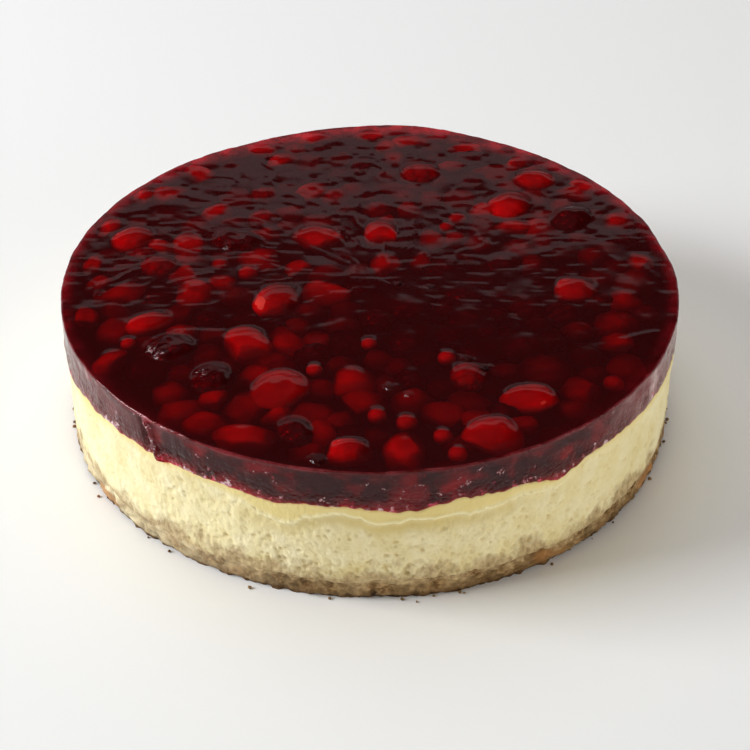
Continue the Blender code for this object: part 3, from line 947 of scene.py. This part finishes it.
def biscuit_finish():
    """Mottled tan and brown crumbs, with painted shade that makes them darker in the hollows between them,
    where the side lies further in, and towards the foot; a few orange-brown patches, and cream smeared along
    their top and over one side."""
    made = Nodes(bpy.data.materials.new("biscuit crumb"))
    crumbs = made.noise(400, 5, 0.65, (1, 1, 1.2))
    blotches = made.noise(110, 4, 0.6, (1, 1, 1.2))
    below = made.value("below_cream")
    warm = made.fit(made.noise(38, 2, 0.5), 0.56, 0.64, 0, 0.85)
    smeared = made.maths("SUBTRACT", below, made.fit(blotches, 0.3, 0.7, -0.002, 0.004))
    smear = made.ramp(crumbs, (0.34, (0.30, 0.19, 0.085)), (0.66, (0.62, 0.48, 0.27)))
    # painted shade: dark spots in the hollows between the crumbs, only towards the foot
    gaps = made.fit(made.noise(260, 3, 0.6), 0.58, 0.66)
    gaps = made.maths("MULTIPLY", made.fit(below, 0.004, 0.0070, 0, 0.9), gaps)
    creamy = made.maths("MULTIPLY", made.value("creamy"), made.fit(blotches, 0.36, 0.56, 0.35, 1.0))
    toasted = made.maths("ADD", made.value("toasted"), made.fit(blotches, 0.3, 0.7, -0.2, 0.2))
    browns = (0.32, (0.080, 0.038, 0.012)), (0.50, (0.21, 0.115, 0.042)), (0.68, (0.50, 0.34, 0.165))
    tone = made.layered(
        made.ramp(crumbs, *browns),
        (made.fit(blotches, 0.42, 0.66, 0, 0.65), (0.46, 0.33, 0.17)),
        (warm, (0.40, 0.19, 0.065)),
        (made.fit(smeared, 0.001, -0.001, 0, 0.8), smear),
        # painted shade: darker towards the foot
        (made.fit(below, 0.004, 0.0085, 0, 0.75), (0.105, 0.050, 0.018)),
        (gaps, (0.030, 0.012, 0.004)),
        (creamy, (0.85, 0.74, 0.48)),
        (made.fit(toasted, 0.32, 0.62, 0, 0.85), (0.47, 0.235, 0.095)),
    )
    # painted shade: the side darker where its relief lies further in
    shade = made.fit(made.value("crumb"), -1.3, 0.1, 0.35, 1.0)
    grey = made.ramp(shade, (0.0, (0, 0, 0)), (1.0, (1, 1, 1)))
    made.shade({
        "Base Color": made.blend(1.0, tone, grey, "MULTIPLY"),
        "Roughness": 0.88,
        "Specular IOR Level": 0.25,
        "Normal": made.bump(crumbs, 0.0006),
    })
    return made.owner


def cream_finish():
    """Pale yellow cream with painted shade, deeper in the hollows and in the smooth scoop under the
    lip, and a painted highlight, lighter along the lip; yellower on the smooth band, stained by crumbs in
    humps over the biscuit, and by juice where it is soaked."""
    made = Nodes(bpy.data.materials.new("cream cheese"))
    slow = made.noise(90, 4, 0.65, (1, 1, 0.7))
    blotches = made.fit(made.noise(240, 5, 0.7, (1, 1, 0.6)), 0.35, 0.72, 0.0, 0.0050)
    humps = made.fit(made.noise(75, 2, 0.5), 0.42, 0.68, 0.0, 0.0082)
    stain_height = made.maths("SUBTRACT", made.value("above_biscuit"), blotches, humps)
    grain = made.noise(420, 5, 0.65, (1, 1, 0.6))
    crumbs = made.ramp(grain, (0.34, (0.27, 0.165, 0.070)), (0.66, (0.62, 0.48, 0.27)))
    creams = (0.32, (0.80, 0.69, 0.36)), (0.50, (0.86, 0.77, 0.46)), (0.70, (0.90, 0.83, 0.56))
    tone = made.layered(
        made.ramp(slow, *creams),
        (made.fit(made.value("band"), 0, 1, 0, 0.75), (0.80, 0.66, 0.25)),
        # painted shade in the scoop under the lip
        (made.fit(made.value("scooped"), 0, 1, 0, 0.8), (0.66, 0.53, 0.20)),
        # painted shade in the hollows
        (made.fit(made.value("hollow"), 0.20, 1.1, 0, 0.75), (0.62, 0.48, 0.19)),
        # painted highlight along the lip
        (made.fit(made.value("lip"), 0.2, 1), (0.95, 0.88, 0.55)),
        (made.fit(stain_height, 0.0032, -0.0030, 0, 0.85), crumbs),
        (made.value("soaked"), (0.42, 0.045, 0.05)),
    )
    made.shade({
        "Base Color": tone,
        "Roughness": 0.62,
        "Specular IOR Level": 0.3,
        "Normal": made.bump(made.noise(620, 4, 0.6, (1, 1, 0.8)), 0.0005),
    })
    return made.owner


def jelly_relief(made):
    """Fine noise near the foot of the wall, and on the wrinkled spots of the top."""
    wet = made.maths("MULTIPLY", made.noise(620, 2, 0.5), made.fit(made.height(), 0.0590, 0.0490))
    wrinkles = made.maths("MULTIPLY", made.noise(400, 2, 0.5), made.fit(made.value("wrinkled"), 0, 1, 0, 2.6))
    return made.bump(made.maths("ADD", wet, wrinkles), 0.0011)


def jelly_covers(made):
    """What covers the clear jelly in part: cloudy patches on the wall and pale rough marks there that are
    painted glints, redder patches at its foot and along the fold, a rough cut rim with a painted highlight,
    a painted red glow just inside it, at the back, and a painted sheen at the sides. The tone has each but
    the cloudy patches as a layer, and the jelly lets through least where the largest share is high."""
    on_wall = made.fit(made.height(), 0.0618, 0.0600)
    at_foot = made.value("at_foot")
    # Painted glints: pale specks on the wall, in clusters, thickest at its foot.
    specks = made.maths("ADD", made.noise(330, 4, 0.7), made.fit(at_foot, 0, 1, -0.05, 0.08))
    clusters = made.fit(made.noise(80, 2, 0.5), 0.36, 0.52)
    glint_flecks = made.maths("MULTIPLY", made.fit(specks, 0.57, 0.65), clusters, on_wall)
    glint_tone = made.ramp(made.noise(150, 1, 0.5), (0.44, (0.62, 0.07, 0.12)), (0.54, (0.80, 0.56, 0.62)))
    cloudy = made.maths("MULTIPLY", made.fit(made.noise(75, 3, 0.55), 0.50, 0.66, 0, 0.30), on_wall)

    patches = {
        # painted sheen on the left and right walls
        "side_sheen": (made.noise(120, 4, 0.7), 0.36, 0.64, 0.20, 0.72),
        # painted red glow just inside the rim, at the back
        "near_rim": (made.noise(110, 3, 0.6), 0.38, 0.62, 0.15, 0.65),
        "at_foot": (made.noise(95, 2, 0.5), 0.48, 0.66, 0, 0.45),
        # painted highlight along the rough cut rim
        "cut_rim_highlight": (made.noise(140, 3, 0.6), 0.35, 0.6, 0.10, 0.45),
    }
    shares = {name: made.maths("MULTIPLY", made.value(name), made.fit(*patch))
              for name, patch in patches.items()}
    tone = made.layered(
        (0.52, 0.007, 0.016),
        (shares["side_sheen"], (1.0, 0.84, 0.82)),
        # painted red glow just inside the rim
        (shares["near_rim"], (0.95, 0.03, 0.05)),
        (shares["at_foot"], (0.80, 0.03, 0.06)),
        (shares["cut_rim_highlight"], (0.66, 0.24, 0.28)),
        (glint_flecks, glint_tone),
    )
    opaque = made.maths("MAXIMUM", cloudy, glint_flecks, *shares.values())
    return tone, made.fit(opaque, 0, 1, 0.95, 0.15)


def jelly_finish():
    """Clear jelly: a wet surface over a body that takes up green and blue within a millimetre and red within
    a centimetre, with covers that make it rough and pale in places, among them painted glints, a painted
    highlight, sheen and glow. Lamps reach the fruit straight through it, because rays of shadow pass a
    tinted clear shader instead."""
    made = Nodes(bpy.data.materials.new("berry jelly"))
    tone, let_through = jelly_covers(made)
    made.shade({
        "Base Color": tone,
        "Transmission Weight": let_through,
        "Roughness": 0.10,
        "IOR": 1.36,
        "Normal": jelly_relief(made),
    })
    wet = made.tree.nodes["Principled BSDF"].outputs["BSDF"]
    tinted = made.add("BsdfTransparent", {"Color": (0.68, 0.11, 0.14)})
    body = made.add("VolumeAbsorption", {"Color": (0.80, 0.45, 0.50), "Density": 950})
    surface_shader = made.by_ray("Is Shadow Ray", wet, tinted)
    made.feed(made.tree.nodes["Material Output"], {"Surface": surface_shader, "Volume": body})
    return made.owner


def fruit_finish(name, dark, light, roughness, shine=0.12):
    """Fruit flesh: between two colours by the fruit's own tone and by noise."""
    made = Nodes(bpy.data.materials.new(name))
    mottle = made.fit(made.noise(160), 0.3, 0.7, 0, 0.5)
    tone = made.maths("ADD", mottle, made.fit(made.value("tone"), 0, 1, 0, 0.5))
    made.shade({
        "Base Color": made.ramp(tone, (0.15, dark), (0.85, light)),
        "Roughness": roughness,
        "Specular IOR Level": shine,
    })
    return made.owner


FRUIT_FINISH = {
    "strawberry": fruit_finish("strawberry flesh", (0.40, 0.016, 0.012), (0.66, 0.040, 0.028), 0.35),
    "bramble": fruit_finish("bramble skin", (0.010, 0.002, 0.006), (0.050, 0.004, 0.012), 0.16, 0.5),
    "raspberry": fruit_finish("raspberry skin", (0.16, 0.006, 0.012), (0.36, 0.016, 0.026), 0.35),
    "currant": fruit_finish("currant skin", (0.46, 0.04, 0.04), (0.70, 0.10, 0.09), 0.3),
}


def floor():
    """A pale level square, which glows a little so that it stays nearly white."""
    reach = 3.0
    points = [(-reach, -reach, 0), (reach, -reach, 0), (reach, reach, 0), (-reach, reach, 0)]
    mesh = surface("floor", points, [(0, 1, 2, 3)])
    piece = bpy.data.objects.new("floor", mesh)
    bpy.context.scene.collection.objects.link(piece)
    made = Nodes(bpy.data.materials.new("pale floor"))
    made.shade({
        "Base Color": (0.95, 0.95, 0.945),
        "Emission Color": (1, 1, 1),
        "Emission Strength": 0.03,
        "Roughness": 0.6,
    })
    mesh.materials.append(made.owner)


def room_light():
    """Even light from all round, which is dimmer where glossy surfaces mirror it."""
    world = bpy.data.worlds.new("studio")
    bpy.context.scene.world = world
    made = Nodes(world)
    made.tree.nodes.clear()
    room = made.add("Background", {"Strength": 0.17})
    mirrored = made.add("Background", {"Strength": 0.02})
    output = made.tree.nodes.new("ShaderNodeOutputWorld")
    made.feed(output, {"Surface": made.by_ray("Is Glossy Ray", room, mirrored)})


def soft_light(name, place, target, size, watts, colour=(1, 1, 1), mirrored=True):
    """A rectangular lamp that faces its target. Where it isn't mirrored, glossy surfaces don't show it."""
    lamp = bpy.data.lights.new(name, "AREA")
    lamp.shape = "RECTANGLE"
    lamp.size, lamp.size_y = size
    lamp.energy = watts
    lamp.color = colour
    holder = bpy.data.objects.new(name, lamp)
    holder.location = place
    holder.rotation_euler = (Vector(target) - Vector(place)).to_track_quat("-Z", "Y").to_euler()
    holder.visible_glossy = mirrored
    bpy.context.scene.collection.objects.link(holder)


def lamps():
    """A window at the left gives most of the light, and four soft lamps fill in. The pale wall behind, which
    the jelly mirrors, is brightest in a band above its foot."""
    cake = (0, 0, 0.03)
    soft_light("window at the left", (-2.2, -0.12, 1.15), cake, (1.3, 1.1), 66, (0.97, 0.985, 1.0))
    soft_light("overhead", (-0.2, 1.0, 1.9), (0, 0.25, 0), (1.8, 1.8), 13, mirrored=False)
    soft_light("front fill", (0.0, -1.35, 1.7), cake, (1.5, 0.8), 2.6, (1.0, 0.93, 0.80))
    soft_light("low fill", (0.6, -1.9, 0.16), cake, (1.6, 0.25), 4.4, (1.0, 0.76, 0.38), mirrored=False)
    soft_light("right fill", (1.7, -0.6, 0.16), cake, (1.0, 0.25), 11, (1.0, 0.98, 0.92), mirrored=False)
    above = (0, 0, 0.1)
    soft_light("wall behind", (0, 1.9, 0.99), above, (3.4, 0.42), 1.5, (1.0, 0.87, 0.89))
    soft_light("foot of the wall", (0, 1.9, 0.41), above, (3.4, 0.74), 0.55, (1.0, 0.88, 0.90))
    soft_light("top of the wall", (0, 2.0, 1.20), above, (3.4, 0.25), 0.2, (1.0, 0.88, 0.90))
    soft_light("strip behind", (-0.25, 1.7, 0.26), (0, 0, 0.06), (1.6, 0.3), 0.20, (1.0, 0.84, 0.86))


def photograph_view():
    """The camera, where the cake's outlines fall as they do in the photograph."""
    camera = bpy.data.cameras.new("camera")
    camera.sensor_width = 36
    camera.lens = 86.34
    holder = bpy.data.objects.new("camera", camera)
    holder.location = (0.0, -0.6134, 0.4745)
    holder.rotation_euler = (math.radians(90 - 37.02), math.radians(-0.05), math.radians(-0.09))
    bpy.context.scene.collection.objects.link(holder)
    bpy.context.scene.camera = holder


biscuit = biscuit_finish()
biscuit_base(biscuit)
loose_crumbs(biscuit)
cream_filling()
jelly()
surface_fruit()
sunk_fruit()
floor()
room_light()
lamps()
photograph_view()
bpy.context.scene.view_settings.view_transform = "Standard"
